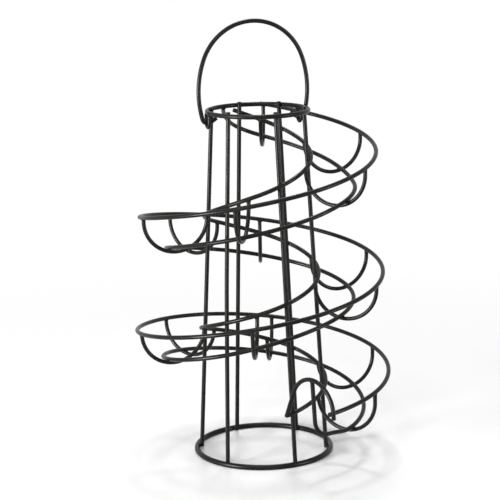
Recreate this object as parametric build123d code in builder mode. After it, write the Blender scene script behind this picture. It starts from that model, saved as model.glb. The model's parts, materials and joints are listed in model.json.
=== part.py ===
from build123d import *
import os
from math import asin, atan2, cos, degrees, radians, sin, sqrt

os.makedirs("parts", exist_ok=True)

# Rolling dispenser of welded round steel wire, in millimetres.
# The origin is the middle of the base ring on the floor, +Z is up and -Y is the front.
# Angles run counter-clockwise from +X. The rails wind down clockwise, so angles fall along them.

# Wire thicknesses and the depth to which a weld sinks one wire into the next
base_wire = 3.8
top_wire = 3.2
upright_wire = 3.0
rail_wire = 3.0
rib_wire = 2.8
gate_wire = 3.0
ear_wire = 2.4
bail_wire = 3.0
weld_bite = 0.3
end_rounding = 0.5

# Rings of the column, measured to the middle of their wire
base_ring_radius = 48.0
top_ring_radius = 35.0
top_ring_height = 244.9
foot_flat_depth = 0.2

# Uprights stand against the inside of both rings, some with a slight twist or a kink half way up
upright_foot_angles = (-5, 57, 116, 175, 235.5, 299)
upright_head_angles = (-5, 62, 113.5, 175, 231.5, 292)
upright_kink_angles = (0, 0, 0, 0, -1.4, 0)
upright_kink_radius = 1500
upright_floor_gap = 0.8
upright_top_stub = 0.9

# Rails: where they leave the column's top and where they end at the gate
rail_top_angle = 100
rail_exit_angle = -780
rail_span_angle = 60
channel_width = 45.3
channel_depth = 23.5
lower_rail_shift = 3.5
pocket_depth = 3.5
pocket_angle = 125
first_seat_lift = 1.6
first_seat_shift = 5.0
first_seat_angle = 20
outer_top_drop = 2.2
inner_top_drop = 8.0
outer_exit_level = 48.9
inner_exit_level = 39.0
outer_even_share = 0.795
inner_even_share = 0.932
inner_start_angle = 119
rail_end_stub = 2.0

# Where the outer rail leaves its even fall: it dips twice
first_dip_depth = 1.1
first_dip_angle = -150
second_dip_depth = 3.8
second_dip_angle = -530
dip_reach_angle = 115

# Where the lower rail wanders up the ribs' sides: outwards on the first turn, inwards on the second
outward_shift = 4.5
outward_rise = 1.2
outward_angle = -22
outward_reach_angle = 45
inward_shift = 13.0
inward_rise = 2.2
inward_angle = -430
inward_reach_angle = 100

# Lower rail's upper end bends up to the top ring, its lower end up to the gate
lower_start_angle = 88
lower_weld_angle = 134
lower_weld_heading_angle = 92
lower_weld_slope_angle = 28
floor_end_stub = 3.5
stop_bend_radius = 11.5
stop_bend_rise = 1.5
stop_lean_angle = 1

# Ribs, roughly midway between the uprights, from the first one at the top
rib_angles = (87, 26, -29, -101, -162, -219, -270, -334, -383, -454, -521, -577, -635, -695, -751)

# Gate arch at the exit. Its bend is a little tighter than half the span between its welds
gate_inner_angle = -789.3
gate_outer_angle = -779.6
gate_bend_inset = 3.1
gate_spring_drop = 1.4
gate_outer_tail = 1.5

# Carrying bail and its two ears. Its arcs are larger than half the span between the ears
left_ear_angle = 190
right_ear_angle = 33
ear_clearance = 0.25
ear_drop = 7.5
hook_radius = 4.0
hook_tip = 5.0
hook_tip_angle = 32
bail_lean_angle = 15.4
side_radius_excess = 31.7
crown_radius_excess = 4.5

# Small turn used to find a rail's direction, and the peak of the pocket's curve x (1 - x)^2
direction_step = 0.01
pocket_peak_share = 4 / 27


def column_radius(height):
    """Distance of the uprights' middle line from the axis at a height."""
    return foot_radius + (head_radius - foot_radius) * (height - base_ring_level) / (
        top_ring_height - base_ring_level
    )


def fall(angle, exit_level, top_level, even_share):
    """Height of a rail: part of its fall is even, the rest gathers towards the top."""
    turn_share = (angle - rail_exit_angle) / (rail_top_angle - rail_exit_angle)
    fall_share = even_share * turn_share + (1 - even_share) * turn_share**2
    return exit_level + (top_level - exit_level) * fall_share


def swell(angle, middle_angle, reach_angle):
    """Smooth bump: 1 at its middle angle and 0 from its reach onwards."""
    away_share = min(abs(angle - middle_angle) / reach_angle, 1)
    return (1 + cos(radians(180 * away_share))) / 2


def even_level(angle):
    return fall(angle, outer_exit_level, top_ring_height - outer_top_drop, outer_even_share)


def outer_level(angle):
    first_dip = first_dip_depth * swell(angle, first_dip_angle, dip_reach_angle)
    second_dip = second_dip_depth * swell(angle, second_dip_angle, dip_reach_angle)
    return even_level(angle) - first_dip - second_dip


def inner_level(angle):
    return fall(angle, inner_exit_level, top_ring_height - inner_top_drop, inner_even_share)


def pocket_share(angle):
    """How far the channel's floor has sunk into the pocket ahead of the gate, none far above it."""
    place_share = min((angle - rail_exit_angle) / pocket_angle, 1)
    return place_share * (1 - place_share) ** 2 / pocket_peak_share


def first_seat_share(angle):
    """How far the channel's floor has left its even course on the way up to the first rib."""
    return max((angle - first_seat_angle) / (rib_angles[0] - first_seat_angle), 0) ** 2


def outward_share(angle):
    return swell(angle, outward_angle, outward_reach_angle)


def inward_share(angle):
    return swell(angle, inward_angle, inward_reach_angle)


def lower_level(angle):
    sunk = pocket_depth * pocket_share(angle) - first_seat_lift * first_seat_share(angle)
    rise = outward_rise * outward_share(angle) + inward_rise * inward_share(angle)
    return even_level(angle) - channel_depth - sunk + rise


def inner_radius(angle):
    return column_radius(inner_level(angle)) + rail_offset


def outer_radius(angle):
    return column_radius(outer_level(angle)) + rail_offset + channel_width


def lower_radius(angle):
    shift = lower_rail_shift + first_seat_shift * first_seat_share(angle)
    shift += outward_shift * outward_share(angle) - inward_shift * inward_share(angle)
    return column_radius(lower_level(angle)) + rail_offset + channel_width / 2 + shift


def polar(radius, angle, height):
    """Point at a radius, an angle and a height."""
    return Vector(radius * cos(radians(angle)), radius * sin(radians(angle)), height)


def outer_point(angle):
    return polar(outer_radius(angle), angle, outer_level(angle))


def inner_point(angle):
    return polar(inner_radius(angle), angle, inner_level(angle))


def lower_point(angle):
    return polar(lower_radius(angle), angle, lower_level(angle))


def downhill(point_at, angle):
    """Direction of a rail at an angle, pointing down towards the exit."""
    return (point_at(angle - direction_step) - point_at(angle + direction_step)).normalized()


def biarc(start, start_direction, end, end_direction):
    """Two arcs that leave and arrive along the given directions and meet smoothly."""
    chord = end - start
    both = start_direction + end_direction
    spread = 2 * (1 - start_direction.dot(end_direction))
    along = chord.dot(both)
    reach = (sqrt(along**2 + spread * chord.dot(chord)) - along) / spread
    first_corner = start + start_direction * reach
    second_corner = end - end_direction * reach
    middle = (first_corner + second_corner) * 0.5
    TangentArc(start, middle, tangent=start_direction)
    TangentArc(middle, end, tangent=(second_corner - first_corner).normalized())


def bend_to_line(start, direction, end, radius):
    """An arc that leaves along a direction, then a straight line to the end."""
    chord = end - start
    along = chord.dot(direction)
    side = (chord - direction * along).normalized()
    beside = chord.dot(side) - radius
    line_length = sqrt(along**2 + beside**2 - radius**2)
    turn = atan2(beside, along) + atan2(radius, line_length)
    bend_end = start + direction * radius * sin(turn) + side * radius * (1 - cos(turn))
    TangentArc(start, bend_end, tangent=direction)
    Line(bend_end, end)


def rail_run(point_at, start_angle, end_angle):
    """Arcs that follow a rail down from one angle to another, span by span."""
    span_count = round((start_angle - end_angle) / rail_span_angle)
    span = (start_angle - end_angle) / span_count
    for number in range(span_count):
        high = start_angle - number * span
        low = high - span
        biarc(point_at(high), downhill(point_at, high), point_at(low), downhill(point_at, low))


def radial_plane(angle):
    """Upright plane through the axis: its x runs outwards, its y upwards."""
    out = Vector(cos(radians(angle)), sin(radians(angle)), 0)
    return Plane(origin=(0, 0, 0), x_dir=out, z_dir=out.cross(Vector(0, 0, 1)))


def start_plane(path):
    """Plane square to a path at its start."""
    return Plane(origin=path @ 0, z_dir=path % 0)


def keep(piece, name):
    """Label a finished piece and write it."""
    piece.part.label = name
    export_step(piece.part, f"parts/{name}.step")


# Places worked out from the driving sizes
upwards = Vector(0, 0, 1)
base_ring_level = base_wire / 2 - foot_flat_depth
foot_radius = base_ring_radius - (base_wire + upright_wire) / 2 + weld_bite
head_radius = top_ring_radius - (top_wire + upright_wire) / 2 + weld_bite
rail_offset = (upright_wire + rail_wire) / 2 - weld_bite

# Base ring, with its underside flattened so that it stands without rocking
with BuildPart() as base_ring:
    with BuildSketch(Plane.XZ):
        with Locations((base_ring_radius, base_ring_level)):
            Circle(base_wire / 2)
        with Locations((base_ring_radius, -base_wire / 2)):
            Rectangle(base_wire * 2, base_wire, mode=Mode.SUBTRACT)
    revolve(axis=Axis.Z)
keep(base_ring, "base_ring")

# Top ring
with BuildPart() as top_ring:
    with BuildSketch(Plane.XZ):
        with Locations((top_ring_radius, top_ring_height)):
            Circle(top_wire / 2)
    revolve(axis=Axis.Z)
keep(top_ring, "top_ring")

# Uprights, wires that lean in towards the top ring: straight, or gently bent along the column's side
upright_foot_level = upright_floor_gap
upright_head_level = top_ring_height + top_wire / 2 + upright_top_stub
upright_middle_level = (upright_foot_level + upright_head_level) / 2
upright_turns = zip(upright_foot_angles, upright_head_angles, upright_kink_angles)
for number, (foot_angle, head_angle, kink_angle) in enumerate(upright_turns):
    foot = polar(column_radius(upright_foot_level), foot_angle, upright_foot_level)
    head = polar(column_radius(upright_head_level), head_angle, upright_head_level)
    middle_angle = (foot_angle + head_angle) / 2 + kink_angle
    middle = polar(column_radius(upright_middle_level), middle_angle, upright_middle_level)
    with BuildPart() as upright:
        with BuildLine() as upright_line:
            if kink_angle:
                FilletPolyline(foot, middle, head, radius=upright_kink_radius)
            else:
                Line(foot, head)
        with BuildSketch(start_plane(upright_line.line)):
            Circle(upright_wire / 2)
        sweep()
        fillet(upright.faces().filter_by(GeomType.PLANE).edges(), radius=end_rounding)
    keep(upright, f"upright_{number + 1}")

# Outer rail, from its first rib down to just past the gate
outer_start_angle = rib_angles[0] + degrees(rail_end_stub / outer_radius(rib_angles[0]))
outer_end_angle = gate_outer_angle - degrees(rail_end_stub / outer_radius(gate_outer_angle))
with BuildPart() as outer_rail:
    with BuildLine() as outer_line:
        rail_run(outer_point, outer_start_angle, outer_end_angle)
    with BuildSketch(start_plane(outer_line.line)):
        Circle(rail_wire / 2)
    sweep()
keep(outer_rail, "outer_rail")

# Inner rail, welded round the outside of the uprights, with its lower end against the gate's foot
inner_end_gap = gate_wire / 2 - weld_bite
inner_end_angle = gate_inner_angle + degrees(inner_end_gap / inner_radius(gate_inner_angle))
with BuildPart() as inner_rail:
    with BuildLine() as inner_line:
        rail_run(inner_point, inner_start_angle, inner_end_angle)
    with BuildSketch(start_plane(inner_line.line)):
        Circle(rail_wire / 2)
    sweep()
keep(inner_rail, "inner_rail")

# Gate arch: one foot at the inner rail's end, the other against the outer rail's outward side
gate_offset = (rail_wire + gate_wire) / 2 - weld_bite
gate_inner_weld = inner_point(gate_inner_angle)
gate_outer_weld = polar(
    outer_radius(gate_outer_angle) + gate_offset, gate_outer_angle, outer_level(gate_outer_angle)
)
gate_reach = gate_inner_weld - gate_outer_weld
gate_span = Vector(gate_reach.X, gate_reach.Y, 0)
gate_bend_radius = gate_span.length / 2 - gate_bend_inset
gate_outer_foot = gate_outer_weld - upwards * (rail_wire / 2 + gate_outer_tail)
gate_spring = gate_outer_weld - upwards * gate_spring_drop
gate_crown = gate_spring + (gate_span.normalized() + upwards) * gate_bend_radius
with BuildPart() as gate_arch:
    with BuildLine() as gate_line:
        Line(gate_outer_foot, gate_spring)
        bend_to_line(gate_spring, upwards, gate_inner_weld, gate_bend_radius)
    with BuildSketch(start_plane(gate_line.line)):
        Circle(gate_wire / 2)
    sweep()
keep(gate_arch, "gate_arch")

# Lower rail: it hangs from the top ring, follows the channel's floor, then turns up as the stop
stop_top = gate_crown - Vector(0, 0, gate_wire / 2 - weld_bite)
lower_weld = polar(top_ring_radius, lower_weld_angle, top_ring_height - top_wire / 2 + weld_bite)
lower_weld_direction = polar(
    cos(radians(lower_weld_slope_angle)),
    lower_weld_heading_angle,
    -sin(radians(lower_weld_slope_angle)),
)
floor_end_angle = rib_angles[-1] - degrees(floor_end_stub / lower_radius(rib_angles[-1]))
gate_turn_angle = degrees(atan2(gate_crown.Y, gate_crown.X)) + 360 * round(rail_exit_angle / 360)
stop_bend_angle = gate_turn_angle + stop_lean_angle + degrees(
    stop_bend_radius / lower_radius(gate_turn_angle)
)
bend_start = polar(
    lower_radius(stop_bend_angle), stop_bend_angle, lower_level(floor_end_angle) + stop_bend_rise
)
bend_direction = polar(1, stop_bend_angle - 90, 0)
with BuildPart() as lower_rail:
    with BuildLine() as lower_line:
        biarc(
            lower_weld,
            lower_weld_direction,
            lower_point(lower_start_angle),
            downhill(lower_point, lower_start_angle),
        )
        rail_run(lower_point, lower_start_angle, floor_end_angle)
        biarc(
            lower_point(floor_end_angle),
            downhill(lower_point, floor_end_angle),
            bend_start,
            bend_direction,
        )
        bend_to_line(bend_start, bend_direction, stop_top, stop_bend_radius)
    with BuildSketch(start_plane(lower_line.line)):
        Circle(rail_wire / 2)
    sweep()
keep(lower_rail, "lower_rail")


def rib_path(angle):
    """U of a rib in its radial plane, from under the outer rail to under the inner rail."""
    outer_end = outer_level(angle) - rail_wire / 2 + weld_bite
    inner_end = inner_level(angle) - rail_wire / 2 + weld_bite
    bend_radius = (outer_radius(angle) - inner_radius(angle)) / 2
    middle = (outer_radius(angle) + inner_radius(angle)) / 2
    seat = bend_radius - (rail_wire + rib_wire) / 2 + weld_bite
    bend_level = lower_level(angle) + sqrt(seat**2 - (lower_radius(angle) - middle) ** 2)
    outer_short_angle = degrees(asin(max(bend_level - outer_end, 0) / bend_radius))
    inner_short_angle = degrees(asin(max(bend_level - inner_end, 0) / bend_radius))
    if outer_end > bend_level:
        Line((middle + bend_radius, outer_end), (middle + bend_radius, bend_level))
    bend_angle = 180 - outer_short_angle - inner_short_angle
    CenterArc((middle, bend_level), bend_radius, -outer_short_angle, -bend_angle)
    if inner_end > bend_level:
        Line((middle - bend_radius, bend_level), (middle - bend_radius, inner_end))


# Ribs, U-shaped cradles that carry the lower rail between the outer and inner rail
for number, angle in enumerate(rib_angles):
    with BuildPart() as rib:
        with BuildLine(radial_plane(angle)) as rib_line:
            rib_path(angle)
        with BuildSketch(start_plane(rib_line.line)):
            Circle(rib_wire / 2)
        sweep()
    keep(rib, f"rib_{number + 1:02d}")

# Hinge line of the bail, from ear to ear, and the directions across it and up
hinge_level = top_ring_height - ear_drop
left_hinge = polar(top_ring_radius, left_ear_angle, hinge_level)
right_hinge = polar(top_ring_radius, right_ear_angle, hinge_level)
hinge_way = (right_hinge - left_hinge).normalized()
hinge_middle = (left_hinge + right_hinge) * 0.5
half_span = (right_hinge - left_hinge).length / 2

# Ears: small U loops that hang from the top ring, square to the hinge line
ear_radius = (bail_wire + ear_wire) / 2 + ear_clearance
ear_height = ear_drop - top_wire / 2 + weld_bite
for name, place in (("left_ear", left_hinge), ("right_ear", right_hinge)):
    with BuildPart() as ear:
        with BuildLine(Plane(origin=place, x_dir=upwards.cross(hinge_way), z_dir=hinge_way)) as ear_line:
            Line((-ear_radius, ear_height), (-ear_radius, 0))
            CenterArc((0, 0), ear_radius, 180, 180)
            Line((ear_radius, 0), (ear_radius, ear_height))
        with BuildSketch(start_plane(ear_line.line)):
            Circle(ear_wire / 2)
        sweep()
    keep(ear, name)

# Bail: two hooked ends, two long sides and a rounder crown, in the upright plane of the hinge line.
# Its points are measured from the middle of the hinge line, along it and up
lean = radians(bail_lean_angle)
tip_slope = radians(hook_tip_angle)
hook_turn_angle = 90 - bail_lean_angle + hook_tip_angle
tip_bend_x = half_span - hook_radius * sin(tip_slope)
tip_bend_y = hook_radius * (1 - cos(tip_slope))
tip_x = tip_bend_x - hook_tip * cos(tip_slope)
tip_y = tip_bend_y + hook_tip * sin(tip_slope)
hook_side_x = half_span + hook_radius * cos(lean)
hook_side_y = hook_radius * (1 - sin(lean))
side_radius = half_span + side_radius_excess
side_centre_x = half_span - (side_radius - hook_radius) * cos(lean)
side_centre_y = hook_radius + (side_radius - hook_radius) * sin(lean)
crown_radius = half_span + crown_radius_excess
crown_rise = sqrt((side_radius - crown_radius) ** 2 - side_centre_x**2)
crown_centre_y = side_centre_y + crown_rise
crown_y = crown_centre_y + crown_radius
crown_turn = atan2(crown_rise, -side_centre_x)
side_turn = (crown_turn - lean) / 2
side_x = side_centre_x + side_radius * cos(side_turn)
side_y = side_centre_y + side_radius * sin(side_turn)
crown_end_x = crown_radius * cos(crown_turn)
crown_end_y = crown_centre_y + crown_radius * sin(crown_turn)
bail_plane = Plane(origin=hinge_middle, x_dir=hinge_way, z_dir=hinge_way.cross(upwards))
with BuildPart() as bail:
    with BuildLine(bail_plane) as bail_line:
        Line((-tip_x, tip_y), (-tip_bend_x, tip_bend_y))
        CenterArc((-half_span, hook_radius), hook_radius, hook_tip_angle - 90, -hook_turn_angle)
        ThreePointArc((-hook_side_x, hook_side_y), (-side_x, side_y), (-crown_end_x, crown_end_y))
        ThreePointArc((-crown_end_x, crown_end_y), (0, crown_y), (crown_end_x, crown_end_y))
        ThreePointArc((crown_end_x, crown_end_y), (side_x, side_y), (hook_side_x, hook_side_y))
        CenterArc((half_span, hook_radius), hook_radius, -bail_lean_angle, -hook_turn_angle)
        Line((tip_bend_x, tip_bend_y), (tip_x, tip_y))
    with BuildSketch(start_plane(bail_line.line)):
        Circle(bail_wire / 2)
    sweep()
keep(bail, "handle")

print("Middle of the hinge line", hinge_middle, "and its direction", hinge_way)
print("Bail's crown level", hinge_level + crown_y)
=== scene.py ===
import json
import math

import bmesh
import bpy
from mathutils import Matrix, Vector, noise
from mathutils.bvhtree import BVHTree
from mathutils.geometry import intersect_ray_tri


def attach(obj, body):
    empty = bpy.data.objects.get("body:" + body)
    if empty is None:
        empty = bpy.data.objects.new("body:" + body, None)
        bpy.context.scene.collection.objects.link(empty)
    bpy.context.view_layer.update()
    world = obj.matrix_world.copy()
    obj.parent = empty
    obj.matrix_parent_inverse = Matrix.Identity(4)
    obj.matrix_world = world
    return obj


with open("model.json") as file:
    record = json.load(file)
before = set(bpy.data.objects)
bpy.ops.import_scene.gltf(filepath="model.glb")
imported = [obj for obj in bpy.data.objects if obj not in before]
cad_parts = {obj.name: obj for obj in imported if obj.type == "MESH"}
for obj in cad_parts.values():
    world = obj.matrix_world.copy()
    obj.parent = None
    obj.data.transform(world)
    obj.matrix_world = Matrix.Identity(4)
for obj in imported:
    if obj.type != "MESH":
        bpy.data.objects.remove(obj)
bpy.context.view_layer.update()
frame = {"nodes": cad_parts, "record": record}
nodes = frame["nodes"]

# The scene is in metres
MM = 0.001

# Wire radius of the rails, the gate and the handle, as the construction has it
WIRE_RADIUS = 1.5 * MM

# Powder coat. Noise scales count the grains in a metre
COAT_SPECULAR = 0.12
CLOUD_SCALE = 38.0
CLOUD_DETAIL = 3.0
CLOUD_RANGE = (0.35, 0.68)
FINE_DETAIL = 2.0
EVEN_ROUGHNESS = 0.5
SPECK_SCALE = 2600.0
SPECK_ROUGHNESS = 0.7
SPECK_RANGE = (0.70, 0.82)
SPECK_STRENGTH = 0.55
DUST_COLOR = (0.075, 0.070, 0.064, 1.0)
PATCH_SCALE = 150.0
PATCH_RANGE = (0.3, 0.7)
PATCH_SMOOTHER = 0.05
PATCH_ROUGHER = 0.07
GRIT_SCALE_SHARE = 4.5
GRIT_DEPTH_SHARE = 0.12

# Weld beads. Points of a crossing nearer than the gap belong to one loop
LOOP_GAP = 1.3 * MM
SHORTEST_EDGE_MM = 1e-6
BALL_SUBDIVISIONS = 4
BEAD_REACH = 2.7 * MM
BEAD_BLEND = 1.25 * MM
BEAD_SINK = 0.24 * MM
BEAD_SINK_POWER = 4
BEAD_STEPS = 9
BEAD_HALVINGS = 6
LUMP_HEIGHT = 0.07 * MM
LUMP_SCALE = 900.0
LUMP_STEP = Vector((17.3, 5.1, 9.7))

# Wire ends: what counts as one flat round end, and the shape of the cap over it
SAME_DIRECTION = 0.99999
SAME_PLANE = 0.01 * MM
AREA_MISFIT_SHARE = 0.07
RIM_SHARES = (0.9, 1.05)
FEWEST_RIM_POINTS = 8
POINT_DIGITS = 3
CAP_HEIGHT_SHARE = 0.42
CAP_RINGS = 6
CAP_POWER = 0.72

# Floor and surroundings
FLOOR_REACH = 30.0
FLOOR_TONE = 0.80
FLOOR_LIFT = 0.03
FLOOR_SHEEN = 0.07
SHEEN_ROUGHNESS = 0.16
SHADOW_REACH = (0.14, 0.62)
WHITE = 1.0
FAR_FLOOR_LIGHT = 0.5
WORLD_LIGHT = 0.15

# Camera as in the photograph: about 1.2 m away, looking 12 degrees down, with a slight roll
VIEW_FROM = Vector((0.0, -1.188205, 0.40003))
VIEW_ALONG = Vector((-0.00591, 0.97789, -0.20892)).normalized()
VIEW_ROLL = math.radians(-1.145)
FOCAL_PIXELS = 1724.691
PICTURE_PIXELS = 500
SENSOR_WIDTH = 36.0
CLIP_RANGE = (0.05, 60.0)


# Materials


def coat_material(name, dark, light, roughness, grain, depth):
    """Powder coat: near black, with orange peel, fine specks and slow changes of gloss."""
    material = bpy.data.materials.new(name)
    material.use_nodes = True
    tree = material.node_tree
    tree.nodes.clear()
    make = tree.nodes.new
    link = tree.links.new
    out = make("ShaderNodeOutputMaterial")
    shader = make("ShaderNodeBsdfPrincipled")
    link(shader.outputs["BSDF"], out.inputs["Surface"])
    shader.inputs["Metallic"].default_value = 0.0
    shader.inputs["Specular IOR Level"].default_value = COAT_SPECULAR
    place = make("ShaderNodeTexCoord")

    def noise_at(scale, detail=FINE_DETAIL, noise_roughness=EVEN_ROUGHNESS):
        texture = make("ShaderNodeTexNoise")
        texture.inputs["Scale"].default_value = scale
        texture.inputs["Detail"].default_value = detail
        texture.inputs["Roughness"].default_value = noise_roughness
        link(place.outputs["Object"], texture.inputs["Vector"])
        return texture.outputs["Fac"]

    def spread(source, source_range, low, high):
        ranger = make("ShaderNodeMapRange")
        ranger.inputs["From Min"].default_value = source_range[0]
        ranger.inputs["From Max"].default_value = source_range[1]
        ranger.inputs["To Min"].default_value = low
        ranger.inputs["To Max"].default_value = high
        link(source, ranger.inputs["Value"])
        return ranger.outputs["Result"]

    # Colour: slow clouding, and sparse specks of dust in the coat
    cloud = noise_at(CLOUD_SCALE, CLOUD_DETAIL)
    specks = noise_at(SPECK_SCALE, noise_roughness=SPECK_ROUGHNESS)
    tint = make("ShaderNodeMix")
    tint.data_type = "RGBA"
    tint.inputs["A"].default_value = (*dark, 1.0)
    tint.inputs["B"].default_value = (*light, 1.0)
    link(spread(cloud, CLOUD_RANGE, 0.0, 1.0), tint.inputs["Factor"])
    dust = make("ShaderNodeMix")
    dust.data_type = "RGBA"
    dust.inputs["B"].default_value = DUST_COLOR
    link(tint.outputs["Result"], dust.inputs["A"])
    link(spread(specks, SPECK_RANGE, 0.0, SPECK_STRENGTH), dust.inputs["Factor"])
    link(dust.outputs["Result"], shader.inputs["Base Color"])

    # Gloss: slow patches
    patches = noise_at(PATCH_SCALE)
    gloss = spread(patches, PATCH_RANGE, roughness - PATCH_SMOOTHER, roughness + PATCH_ROUGHER)
    link(gloss, shader.inputs["Roughness"])

    # Relief: orange peel with grains under a millimetre, and grit on top of it
    peel_bump = make("ShaderNodeBump")
    peel_bump.inputs["Strength"].default_value = 1.0
    peel_bump.inputs["Distance"].default_value = depth
    link(noise_at(grain), peel_bump.inputs["Height"])
    grit_bump = make("ShaderNodeBump")
    grit_bump.inputs["Strength"].default_value = 1.0
    grit_bump.inputs["Distance"].default_value = depth * GRIT_DEPTH_SHARE
    link(noise_at(grain * GRIT_SCALE_SHARE), grit_bump.inputs["Height"])
    link(peel_bump.outputs["Normal"], grit_bump.inputs["Normal"])
    link(grit_bump.outputs["Normal"], shader.inputs["Normal"])
    return material


coat = coat_material(
    "powder_coat",
    dark=(0.0030, 0.0028, 0.0026),
    light=(0.0065, 0.0060, 0.0055),
    roughness=0.31,
    grain=1500.0,
    depth=0.02 * MM,
)
weld_coat = coat_material(
    "weld_coat",
    dark=(0.0028, 0.0026, 0.0024),
    light=(0.0060, 0.0055, 0.0050),
    roughness=0.36,
    grain=1100.0,
    depth=0.04 * MM,
)

for node in nodes.values():
    for slot in node.material_slots:
        slot.link = "OBJECT"
        slot.material = coat


def add_piece(name, verts, faces, body, material):
    """Makes a smooth-shaded mesh piece that rides on a body."""
    mesh = bpy.data.meshes.new(name)
    mesh.from_pydata(verts, [], faces)
    mesh.validate()
    mesh.update()
    for polygon in mesh.polygons:
        polygon.use_smooth = True
    mesh.materials.append(material)
    piece = bpy.data.objects.new(name, mesh)
    bpy.context.scene.collection.objects.link(piece)
    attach(piece, body)


# Welds

trees = {}
for name, node in nodes.items():
    trees[name] = BVHTree.FromPolygons(
        [v.co.copy() for v in node.data.vertices],
        [tuple(p.vertices) for p in node.data.polygons],
    )


def depth_of(tree, point):
    """Signed distance of a point from a node's surface, below zero inside."""
    spot, normal, _, distance = tree.find_nearest(point)
    return distance if (point - spot).dot(normal) > 0 else -distance


def piercings(first, second):
    """Points where edges of the first node's triangles go through the second node's.

    The test runs in millimetres, since it passes over triangles that are tiny in its units.
    """
    first_mesh = nodes[first].data
    second_mesh = nodes[second].data
    found = []
    for mine, other in trees[first].overlap(trees[second]):
        corners = [first_mesh.vertices[v].co / MM for v in first_mesh.polygons[mine].vertices]
        others = [second_mesh.vertices[v].co / MM for v in second_mesh.polygons[other].vertices]
        for number in range(3):
            start = corners[number]
            way = corners[(number + 1) % 3] - start
            if way.length < SHORTEST_EDGE_MM:
                continue
            hit = intersect_ray_tri(others[0], others[1], others[2], way, start, True)
            if hit is not None and (hit - start).dot(way) <= way.length_squared:
                found.append(hit * MM)
    return found


def weld_places(first, second):
    """Middle of each loop along which two nodes' surfaces cross."""
    left = piercings(first, second) + piercings(second, first)
    places = []
    while left:
        group = [left.pop()]
        grown = True
        while grown:
            near = [p for p in left if min((p - q).length for q in group) < LOOP_GAP]
            left = [p for p in left if p not in near]
            group += near
            grown = bool(near)
        low = Vector([min(p[k] for p in group) for k in range(3)])
        high = Vector([max(p[k] for p in group) for k in range(3)])
        places.append((low + high) / 2)
    return places


def ball_directions():
    """Evenly spread directions and the triangles between them."""
    ball = bmesh.new()
    bmesh.ops.create_icosphere(ball, subdivisions=BALL_SUBDIVISIONS, radius=1.0)
    ball.verts.ensure_lookup_table()
    directions = [v.co.normalized() for v in ball.verts]
    faces = [tuple(v.index for v in f.verts) for f in ball.faces]
    ball.free()
    return directions, faces


DIRECTIONS, BALL_FACES = ball_directions()


def bead(first, second, place, seed):
    """Weld bead: a soft collar that fills the crease between two wires and dies out into them."""
    first_tree = trees[first]
    second_tree = trees[second]
    verts = []

    def outside(direction, radius):
        """Distance from the bead's surface: a smooth union of both wires, sunk in further out."""
        point = place + direction * radius
        a = depth_of(first_tree, point)
        b = depth_of(second_tree, point)
        share = max(BEAD_BLEND - abs(a - b), 0.0) / BEAD_BLEND
        lump = LUMP_HEIGHT * noise.noise(point * LUMP_SCALE + seed)
        sunk = BEAD_SINK * (radius / BEAD_REACH) ** BEAD_SINK_POWER
        return min(a, b) - share * share * BEAD_BLEND / 4 + lump * share + sunk

    for direction in DIRECTIONS:
        low = 0.0
        high = None
        for step in range(1, BEAD_STEPS + 1):
            radius = BEAD_REACH * step / BEAD_STEPS
            if outside(direction, radius) >= 0:
                high = radius
                break
            low = radius
        if high is None:
            verts.append(place + direction * BEAD_REACH)
            continue
        for _ in range(BEAD_HALVINGS):
            middle = (low + high) / 2
            if outside(direction, middle) >= 0:
                high = middle
            else:
                low = middle
        verts.append(place + direction * (low + high) / 2)
    return verts


# Each weld goes with the first of these nodes that it touches
WELD_GROUPS = [
    ("welds_base_ring", "base_ring"),
    ("welds_gate_arch", "gate_arch"),
    ("welds_top_ring", "top_ring"),
    ("welds_outer_rail", "outer_rail"),
    ("welds_lower_rail", "lower_rail"),
    ("welds_inner_rail", "inner_rail"),
]
grouped = {name: [] for name, _ in WELD_GROUPS}
for pair in frame["record"]["behaviour"]["press_fits"]:
    for name, key in WELD_GROUPS:
        if key in pair:
            grouped[name].append(pair)
            break

weld_number = 0
for name, pairs in grouped.items():
    verts = []
    faces = []
    for first, second in pairs:
        for place in weld_places(first, second):
            weld_number += 1
            start = len(verts)
            verts += bead(first, second, place, LUMP_STEP * weld_number)
            faces += [tuple(start + v for v in face) for face in BALL_FACES]
    add_piece(name, verts, faces, "frame", weld_coat)
print("weld beads:", weld_number)


# Rounded wire ends


def end_discs(node):
    """Flat round ends of a wire: middle, outward direction and rim of each."""
    mesh = nodes[node].data
    groups = []
    for polygon in mesh.polygons:
        normal = polygon.normal
        offset = normal.dot(polygon.center)
        for group in groups:
            if group[0].dot(normal) > SAME_DIRECTION and abs(group[1] - offset) < SAME_PLANE:
                group[2].append(polygon)
                break
        else:
            groups.append([normal.copy(), offset, [polygon]])
    found = []
    for normal, _, members in groups:
        area = sum(p.area for p in members)
        if abs(area / (math.pi * WIRE_RADIUS * WIRE_RADIUS) - 1) > AREA_MISFIT_SHARE:
            continue
        points = {}
        for polygon in members:
            for index in polygon.vertices:
                co = mesh.vertices[index].co
                points[tuple(round(c / MM, POINT_DIGITS) for c in co)] = co.copy()
        corners = list(points.values())
        middle = sum(corners, Vector()) / len(corners)
        rim = [p for p in corners if (p - middle).length > WIRE_RADIUS * RIM_SHARES[0]]
        widest = max((p - middle).length for p in corners)
        if len(rim) < FEWEST_RIM_POINTS or widest > WIRE_RADIUS * RIM_SHARES[1]:
            continue
        side = normal.orthogonal().normalized()
        other = normal.cross(side)
        rim.sort(key=lambda p: math.atan2((p - middle).dot(other), (p - middle).dot(side)))
        found.append((middle, normal, rim))
    return found


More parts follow.
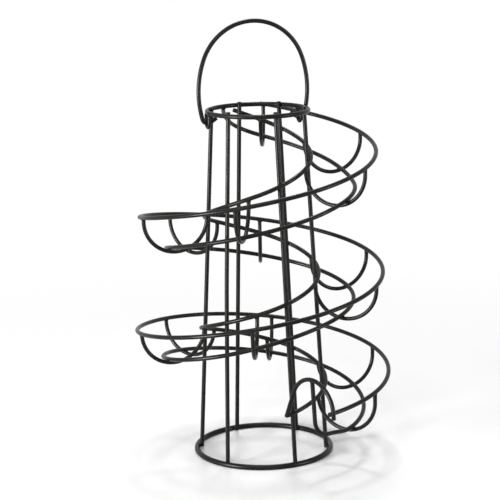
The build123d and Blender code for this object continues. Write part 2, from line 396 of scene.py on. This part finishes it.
def cap(middle, normal, rim, verts, faces):
    """Rounded cap over a cut end: full at the rim, softly domed in the middle."""
    start = len(verts)
    count = len(rim)
    height = WIRE_RADIUS * CAP_HEIGHT_SHARE
    for ring in range(CAP_RINGS):
        turn = ring / CAP_RINGS * math.pi / 2
        width = math.cos(turn) ** CAP_POWER
        rise = height * math.sin(turn) ** CAP_POWER
        verts += [middle + (p - middle) * width + normal * rise for p in rim]
    verts.append(middle + normal * height)
    faces.append(tuple(start + k for k in reversed(range(count))))
    for ring in range(CAP_RINGS - 1):
        low = start + ring * count
        for k in range(count):
            after = (k + 1) % count
            faces.append((low + k, low + after, low + count + after, low + count + k))
    low = start + (CAP_RINGS - 1) * count
    for k in range(count):
        faces.append((low + k, low + (k + 1) % count, len(verts) - 1))


def add_ends(name, members, body):
    """Makes one piece of the caps over all the flat ends of some nodes."""
    verts = []
    faces = []
    for node in members:
        for middle, normal, rim in end_discs(node):
            cap(middle, normal, rim, verts, faces)
    print(name, len(verts), "points")
    add_piece(name, verts, faces, body, coat)


add_ends("frame_wire_ends", ["outer_rail", "inner_rail", "gate_arch"], "frame")
add_ends("handle_wire_ends", ["handle"], "handle")


# Floor and surroundings


def seen_directly(tree):
    """1 where the camera looks, straight or by a mirror or a lens, and 0 for light on the part."""
    path = tree.nodes.new("ShaderNodeLightPath")
    total = path.outputs["Is Camera Ray"]
    for name in ("Is Glossy Ray", "Is Transmission Ray"):
        adder = tree.nodes.new("ShaderNodeMath")
        adder.operation = "ADD"
        adder.use_clamp = True
        tree.links.new(total, adder.inputs[0])
        tree.links.new(path.outputs[name], adder.inputs[1])
        total = adder.outputs[0]
    return total


def glow(tree, seen, seen_strength, light_strength):
    """White emission of one strength where it is seen and another where it lights."""
    ranger = tree.nodes.new("ShaderNodeMapRange")
    ranger.inputs["To Min"].default_value = light_strength
    ranger.inputs["To Max"].default_value = seen_strength
    tree.links.new(seen, ranger.inputs["Value"])
    emission = tree.nodes.new("ShaderNodeEmission")
    emission.inputs["Color"].default_value = (1.0, 1.0, 1.0, 1.0)
    tree.links.new(ranger.outputs["Result"], emission.inputs["Strength"])
    return emission.outputs["Emission"]


def floor_material():
    """Pale sheen that takes the shadow near the object and turns into plain white further off."""
    material = bpy.data.materials.new("floor")
    material.use_nodes = True
    tree = material.node_tree
    tree.nodes.clear()
    make = tree.nodes.new
    link = tree.links.new
    seen = seen_directly(tree)
    paper = make("ShaderNodeBsdfDiffuse")
    paper.inputs["Color"].default_value = (FLOOR_TONE, FLOOR_TONE, FLOOR_TONE, 1.0)
    near = make("ShaderNodeAddShader")
    link(paper.outputs["BSDF"], near.inputs[0])
    link(glow(tree, seen, FLOOR_LIFT, 0.0), near.inputs[1])
    sheen = make("ShaderNodeBsdfGlossy")
    sheen.inputs["Roughness"].default_value = SHEEN_ROUGHNESS
    polished = make("ShaderNodeMixShader")
    polished.inputs["Fac"].default_value = FLOOR_SHEEN
    link(near.outputs[0], polished.inputs[1])
    link(sheen.outputs[0], polished.inputs[2])
    place = make("ShaderNodeTexCoord")
    away = make("ShaderNodeVectorMath")
    away.operation = "LENGTH"
    link(place.outputs["Object"], away.inputs[0])
    fade = make("ShaderNodeMapRange")
    fade.interpolation_type = "SMOOTHSTEP"
    fade.inputs["From Min"].default_value = SHADOW_REACH[0]
    fade.inputs["From Max"].default_value = SHADOW_REACH[1]
    link(away.outputs["Value"], fade.inputs["Value"])
    whole = make("ShaderNodeMixShader")
    link(fade.outputs["Result"], whole.inputs["Fac"])
    link(polished.outputs[0], whole.inputs[1])
    link(glow(tree, seen, WHITE, FAR_FLOOR_LIGHT), whole.inputs[2])
    out = make("ShaderNodeOutputMaterial")
    link(whole.outputs[0], out.inputs["Surface"])
    return material


floor_corners = [
    (-FLOOR_REACH, -FLOOR_REACH, 0),
    (FLOOR_REACH, -FLOOR_REACH, 0),
    (FLOOR_REACH, FLOOR_REACH, 0),
    (-FLOOR_REACH, FLOOR_REACH, 0),
]
floor_mesh = bpy.data.meshes.new("floor")
floor_mesh.from_pydata(floor_corners, [], [(0, 1, 2, 3)])
floor_mesh.materials.append(floor_material())
floor = bpy.data.objects.new("floor", floor_mesh)
bpy.context.scene.collection.objects.link(floor)

world = bpy.data.worlds.new("studio")
bpy.context.scene.world = world
world.use_nodes = True
world_tree = world.node_tree
world_tree.nodes.clear()
backdrop = world_tree.nodes.new("ShaderNodeOutputWorld")
world_glow = glow(world_tree, seen_directly(world_tree), WHITE, WORLD_LIGHT)
world_tree.links.new(world_glow, backdrop.inputs["Surface"])


# Lamps


def area_light(name, place, target, size, power):
    """Soft rectangular lamp aimed at a point."""
    data = bpy.data.lights.new(name, "AREA")
    data.shape = "RECTANGLE"
    data.size, data.size_y = size
    data.energy = power
    lamp = bpy.data.objects.new(name, data)
    bpy.context.scene.collection.objects.link(lamp)
    lamp.location = place
    lamp.rotation_mode = "QUATERNION"
    lamp.rotation_quaternion = (Vector(target) - Vector(place)).to_track_quat("-Z", "Y")


UPPER_TARGET = (0.0, 0.0, 0.13)
LOWER_TARGET = (0.0, 0.0, 0.1)
area_light("left_box", (-1.20, -0.92, 0.21), UPPER_TARGET, size=(0.45, 0.38), power=64.0)
area_light("right_box", (1.30, -0.60, 0.21), UPPER_TARGET, size=(0.20, 0.38), power=12.0)
area_light("top_box", (0.05, 0.50, 1.5), LOWER_TARGET, size=(0.3, 0.3), power=14.5)
area_light("front_box", (-0.30, -1.0, 1.3), LOWER_TARGET, size=(0.3, 0.3), power=7.0)

# Camera

level_right = VIEW_ALONG.cross(Vector((0.0, 0.0, 1.0))).normalized()
level_up = level_right.cross(VIEW_ALONG)
right = level_right * math.cos(VIEW_ROLL) + level_up * math.sin(VIEW_ROLL)
up = level_up * math.cos(VIEW_ROLL) - level_right * math.sin(VIEW_ROLL)
camera_data = bpy.data.cameras.new("camera")
camera_data.sensor_width = SENSOR_WIDTH
camera_data.lens = FOCAL_PIXELS / PICTURE_PIXELS * SENSOR_WIDTH
camera_data.clip_start, camera_data.clip_end = CLIP_RANGE
camera = bpy.data.objects.new("camera", camera_data)
bpy.context.scene.collection.objects.link(camera)
turn = Matrix((right, up, -VIEW_ALONG)).transposed().to_4x4()
camera.matrix_world = Matrix.Translation(VIEW_FROM) @ turn
bpy.context.scene.camera = camera
bpy.context.scene.view_settings.view_transform = "Standard"
